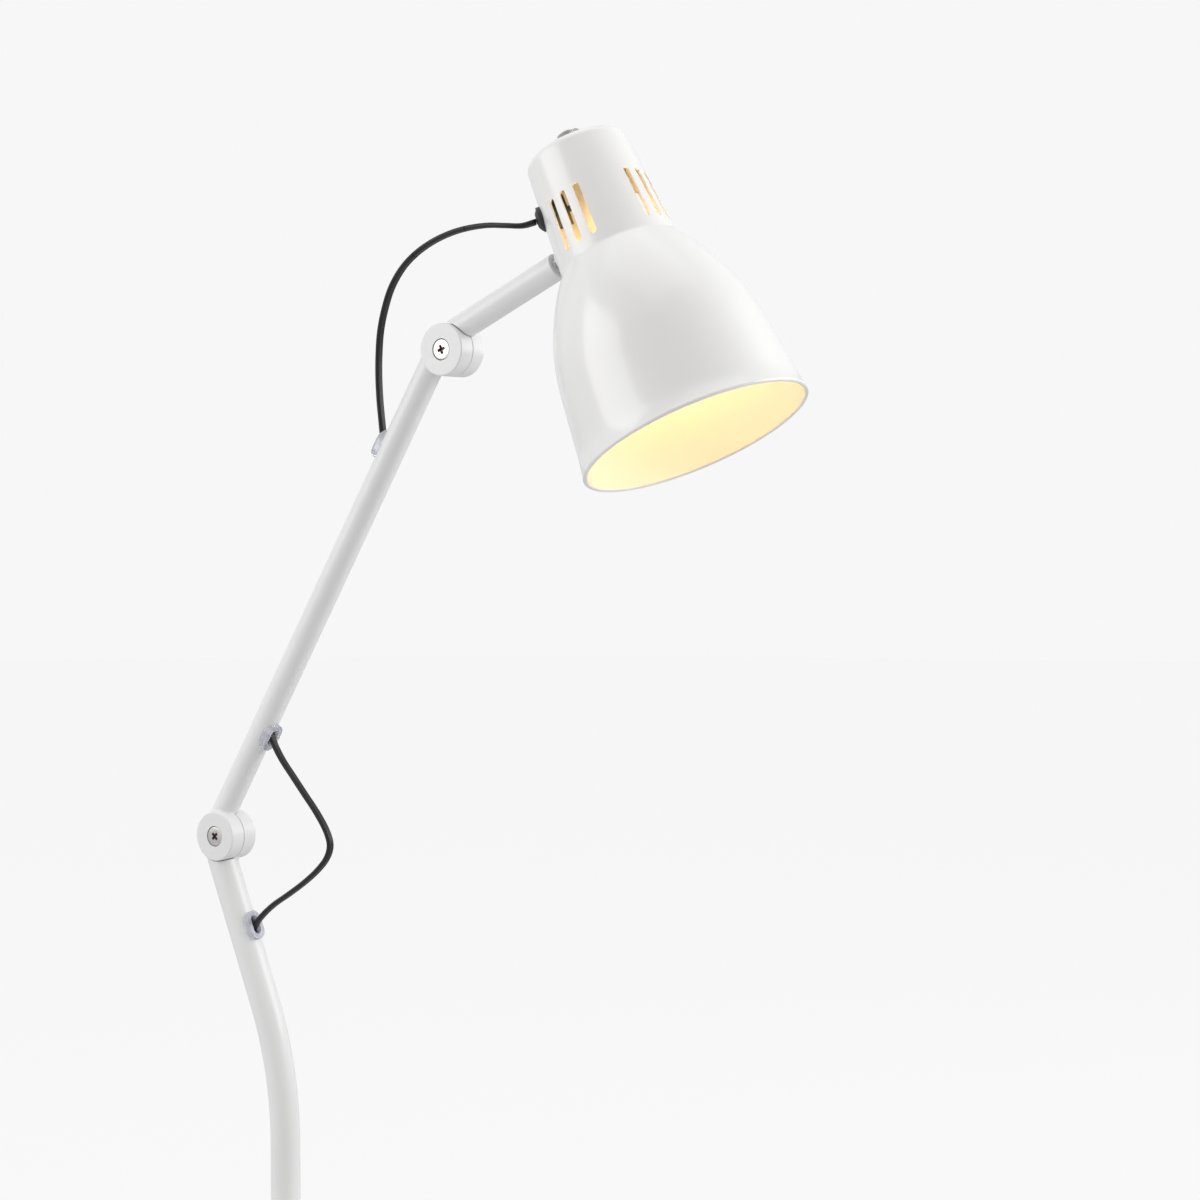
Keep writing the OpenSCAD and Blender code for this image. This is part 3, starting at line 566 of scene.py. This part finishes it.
# where the shade's frame stands: its own Z runs up through the neck
shade_turn = math.radians(26.8)
shade_place = Matrix(((math.cos(shade_turn), 0, -math.sin(shade_turn), 0.314401),
                      (0, 1, 0, 0),
                      (math.sin(shade_turn), 0, math.cos(shade_turn), 0.565062),
                      (0, 0, 0, 1)))

mouth_radius, shade_height, sheet = 0.0685, 0.188, 0.0012
skirt_lean, skirt_height, bell_radius = math.radians(6.5), 0.050, 0.135
top_radius, taper, fillet, nipple_hole = 0.0306, 0.073, 0.005, 0.0051
bead_radius = 0.0013
slot_width, slot_height, slot_middle, slot_step = 0.004, 0.033, 0.1405, 16.5
punch_inside, punch_outside = 0.026, 0.042

# the bell's arc starts on the skirt's top, and a fillet joins it to the tapered neck
skirt_top = mouth_radius - skirt_height * math.tan(skirt_lean)
bell_x = skirt_top - bell_radius * math.cos(skirt_lean)
bell_z = skirt_height - bell_radius * math.sin(skirt_lean)
line_x = top_radius + shade_height * taper + fillet * math.sqrt(1 + taper * taper) - bell_x
line_z = line_x * taper + bell_z
crease_z = (line_z + math.sqrt(line_z ** 2 - (1 + taper ** 2)
            * (line_x ** 2 + bell_z ** 2 - (bell_radius + fillet) ** 2))) / (1 + taper ** 2)
crease_x = bell_x + line_x - taper * crease_z
bell_stop = math.atan2(crease_z - bell_z, crease_x - bell_x)


def bend(x, z, radius, start, stop, count):
    return [(x + radius * math.cos(start + (stop - start) * i / count),
             z + radius * math.sin(start + (stop - start) * i / count))
            for i in range(count + 1)]


def shade_profile(inset):
    """From the skirt's top to the hole in the flat top, this far inside the outer surface."""
    top = shade_height - inset
    return (bend(bell_x, bell_z, bell_radius - inset, skirt_lean, bell_stop, 44)
            + bend(crease_x, crease_z, fillet + inset, bell_stop + math.pi,
                   math.pi + math.atan(taper), 8)
            + bend(top_radius + fillet * taper - fillet, shade_height - fillet, fillet - inset,
                   math.atan(taper), math.pi / 2, 10)
            + [(0.012, top), (nipple_hole, top)])


def spun(name, bm, steps, merge):
    """The bmesh's outline spun right round its own Z, with the seam and the pole closed."""
    bmesh.ops.spin(bm, geom=bm.verts[:] + bm.edges[:], cent=(0, 0, 0), axis=(0, 0, 1),
                   angle=2 * math.pi, steps=steps)
    bmesh.ops.remove_doubles(bm, verts=bm.verts, dist=merge)
    return new_piece(name, bm)


bead = bend(mouth_radius - sheet / 2, 0, bead_radius, math.radians(160), math.radians(410), 14)
skirt = [(mouth_radius - z * math.tan(skirt_lean), z) for z in (0.012, 0.024, 0.037)]
skirt_inside = [(x - sheet, z) for x, z in skirt]
profile = shade_profile(sheet)[::-1] + skirt_inside[::-1] + bead + skirt + shade_profile(0)
bm = bmesh.new()
ring = [bm.verts.new((x, 0, z)) for x, z in profile]
for one, two in zip(ring, ring[1:]):
    bm.edges.new((one, two))
bm.edges.new((ring[-1], ring[0]))
spun_shade = spun("spun_shade", bm, 144, 0.000005)

bm = bmesh.new()
for group in (-90, 0, 90):
    for step in (-slot_step, 0, slot_step):
        out = Matrix.Rotation(math.radians(group + step), 3, "Z")
        loops = []
        for reach in (punch_inside, punch_outside):
            loop = []
            for end, first in ((1, 0), (-1, 180)):
                middle = slot_middle + end * (slot_height - slot_width) / 2
                for y, z in bend(0, middle, slot_width / 2, math.radians(first),
                                 math.radians(first + 180), 12):
                    loop.append(bm.verts.new(out @ Vector((reach, y, z))))
            loops.append(loop)
        bridge(bm, loops[0], loops[1])
        bm.faces.new(loops[0])
        bm.faces.new(loops[1])
punch_out(spun_shade, "vent_slots", new_piece("slot_punch", bm))
settle(spun_shade, shade_place, 40)
dress(gloss_white, spun_shade)
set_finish(spun_shade, "white_gloss")
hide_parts("shade")
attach(spun_shade, "head")


# ---- Cable gland ----
# A moulded black nylon grip for the flex where it enters the shade, with a nut inside the neck.
# Its face bulges from the neck like a lens.
nylon, feed, place = new_finish("moulded_black_nylon", IOR=1.52)
flow = place.noise(place, 500.0, 3.0)
feed("Base Color", flow.clamped(0, 1).mixed((0.012, 0.012, 0.013, 1), (0.03, 0.03, 0.032, 1)))
feed("Roughness", 0.36 + flow * 0.15)
feed("Normal", place.bump(flow, 0.15, 0.0003))
dress(nylon, "cord_grip", "cord_grip_nut")

bm = bmesh.new()
outline = [(0.0, -0.0012), (0.0073, -0.0012), (0.0076, -0.0004), (0.0074, 0.0008),
           (0.0063, 0.0021), (0.0048, 0.0031), (0.0036, 0.0036), (0.0031, 0.0034),
           (0.0027, 0.0022), (0.0, 0.0022)]
for r, z in outline:
    bm.verts.new((r, 0, z))
bm.verts.ensure_lookup_table()
for one, two in zip(bm.verts[:-1], bm.verts[1:]):
    bm.edges.new((one, two))
gland_face = spun("gland_face", bm, 48, 0.00001)
out_of_neck, neck_radius, gland_height = math.radians(360 - 147), 0.0329, 0.156
outwards = Vector((math.cos(out_of_neck), math.sin(out_of_neck), taper)).normalized()
settle(gland_face, shade_place
       @ Matrix.Translation((neck_radius * math.cos(out_of_neck),
                             neck_radius * math.sin(out_of_neck), gland_height))
       @ outwards.to_track_quat("Z", "Y").to_matrix().to_4x4(), 50)
dress(nylon, gland_face)
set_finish(gland_face, "nylon")
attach(gland_face, "head")


# ---- Switch knob ----
# A turned and straight knurled brass cap, nickel plated, on the rotary switch's spindle where
# it comes through the top of the shade.
knurls, knob_radius, knob_height, groove = 88, 0.00725, 0.0072, 0.915
face_radius, chamfer = 0.0061, 0.0006
bpy.ops.mesh.primitive_cylinder_add(vertices=knurls, radius=knob_radius, depth=knob_height,
                                    location=(0, 0, 0.0046), end_fill_type="NGON")
knob = bpy.context.object
knob.name = "knurled_knob"
bpy.ops.object.transform_apply(location=True)
bm = bmesh.new()
bm.from_mesh(knob.data)
for vert in bm.verts:
    k = round(math.atan2(vert.co.y, vert.co.x) / (2 * math.pi / knurls))
    if k % 2:
        vert.co.xy *= groove
for top in (True, False):
    ends = [f for f in bm.faces if abs(f.normal.z) > 0.9 and (f.normal.z > 0) == top]
    lift = chamfer if top else -chamfer
    bmesh.ops.inset_region(bm, faces=ends, thickness=chamfer, depth=0)
    for face in ends:
        for vert in face.verts:
            angle = math.atan2(vert.co.y, vert.co.x)
            vert.co = (face_radius * math.cos(angle), face_radius * math.sin(angle),
                       vert.co.z + lift)
    if top:
        bmesh.ops.inset_region(bm, faces=ends, thickness=0.0012, depth=-0.0004)
bmesh.ops.recalc_face_normals(bm, faces=bm.faces)
bm.to_mesh(knob.data)
bm.free()
settle(knob, shade_place @ Matrix.Translation((0, 0, 0.1903)), 20)
dress(nickel, knob)
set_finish(knob, "nickel")
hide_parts("switch_knob")
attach(knob, "switch")


# ---- Lampholder and bulb ----
# A glazed porcelain E14 lampholder with a rotary switch hangs from a nipple in the top of the
# shade. The bulb screwed into it is frosted glass, and lit.
glaze, feed, place = new_finish("glazed_white_porcelain", IOR=1.52, Coat_Roughness=0.05)
pool = place.noise(place, 120.0, 3.0)
feed("Base Color", (pool * 1.5 - 0.25).clamped(0, 1).mixed((0.80, 0.77, 0.70, 1),
                                                         (0.87, 0.85, 0.80, 1)))
feed("Roughness", 0.22 + pool * 0.12)
feed("Coat Weight", 0.5 + pool * 0.2)
feed("Normal", place.bump(pool, 0.1, 0.0005))
dress(glaze, "holder_body", "holder_cap")

lit_glass, feed, place = new_finish("lit_frosted_glass", IOR=1.5, Emission_Strength=9.0)
frost = place.noise(place, 1200.0, 2.0)
warmth = place.noise(place, 20.0, 2.0)
feed("Base Color", warmth.clamped(0, 1).mixed((0.9, 0.82, 0.62, 1), (0.95, 0.9, 0.78, 1)))
feed("Emission Color", warmth.clamped(0, 1).mixed((1.0, 0.60, 0.17, 1), (1.0, 0.65, 0.21, 1)))
feed("Roughness", 0.4 + frost * 0.2)
feed("Normal", place.bump(frost, 0.1, 0.0002))
dress(lit_glass, "bulb_glass")


# ---- Room ----
# A plain pale table top that runs on into the backdrop, soft boxes to the left and the right, a
# weaker one above, and a glow from the white room, which is dimmer in front.
bpy.ops.mesh.primitive_circle_add(vertices=96, radius=7, fill_type="NGON", location=(0, 0, 0))
table = bpy.context.object
table.name = "table_top"
table_finish = bpy.data.materials.new("pale_table")
table_finish.use_nodes = True
tree = table_finish.node_tree
tree.nodes.clear()
glow = tree.nodes.new("ShaderNodeEmission")
glow.inputs["Color"].default_value = (0.93, 0.93, 0.93, 1)
glow.inputs["Strength"].default_value = 0.945
matt = tree.nodes.new("ShaderNodeBsdfDiffuse")
matt.inputs["Color"].default_value = (0.06, 0.06, 0.06, 1)
both = tree.nodes.new("ShaderNodeAddShader")
tree.links.new(glow.outputs[0], both.inputs[0])
tree.links.new(matt.outputs[0], both.inputs[1])
output = tree.nodes.new("ShaderNodeOutputMaterial")
bounce = tree.nodes.new("ShaderNodeBsdfDiffuse")
bounce.inputs["Color"].default_value = (0.60, 0.60, 0.60, 1)
seen_or_not = tree.nodes.new("ShaderNodeMixShader")
tree.links.new(tree.nodes.new("ShaderNodeLightPath").outputs["Is Camera Ray"],
               seen_or_not.inputs[0])
tree.links.new(bounce.outputs[0], seen_or_not.inputs[1])
tree.links.new(both.outputs[0], seen_or_not.inputs[2])
tree.links.new(seen_or_not.outputs[0], output.inputs["Surface"])
table.data.materials.append(table_finish)

room = bpy.data.worlds.new("white_room")
bpy.context.scene.world = room
room.use_nodes = True
tree = room.node_tree
seen = tree.nodes["Background"]
seen.inputs["Color"].default_value = (0.93, 0.93, 0.93, 1)
lighting = tree.nodes.new("ShaderNodeBackground")
ray = tree.nodes.new("ShaderNodeLightPath")
choose = tree.nodes.new("ShaderNodeMixShader")
tree.links.new(ray.outputs["Is Camera Ray"], choose.inputs[0])
tree.links.new(lighting.outputs[0], choose.inputs[1])
tree.links.new(seen.outputs[0], choose.inputs[2])
tree.links.new(choose.outputs[0], tree.nodes["World Output"].inputs["Surface"])
# the front of the room is darker than its white walls
direction = Wire(tree, tree.nodes.new("ShaderNodeTexCoord").outputs["Generated"])
towards_front = direction.node("ShaderNodeVectorMath", {"operation": "DOT_PRODUCT"},
                               {0: direction, 1: (0.575, -0.818, 0.05)}, out=1)
walls = (towards_front * 0.9 + 0.35).clamped(0, 1).mixed((0.77, 0.78, 0.80, 1),
                                                        (0.57, 0.565, 0.555, 1))
tree.links.new(walls.socket, lighting.inputs["Color"])

for name, place_at, size, power in (
        ("left_soft_box", (-0.82, -1.27, 1.05), 1.2, 10.5),
        ("right_soft_box", (1.25, 0.75, 1.0), 1.0, 12),
        ("top_soft_box", (0.1, -0.1, 2.1), 1.4, 5)):
    lamp = bpy.data.lights.new(name, "AREA")
    lamp.shape = "SQUARE"
    lamp.size = size
    lamp.energy = power
    box = bpy.data.objects.new(name, lamp)
    bpy.context.scene.collection.objects.link(box)
    box.location = place_at
    box.rotation_euler = (Vector((0.12, 0, 0.55)) - Vector(place_at)).to_track_quat(
        "-Z", "Y").to_euler()


for name in frame["nodes"]:
    node = frame["nodes"][name]
    if not node.get("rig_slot"):
        for entry in frame["record"]["subparts"]:
            if entry["node"] == name:
                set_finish(node, entry["material_slot"])
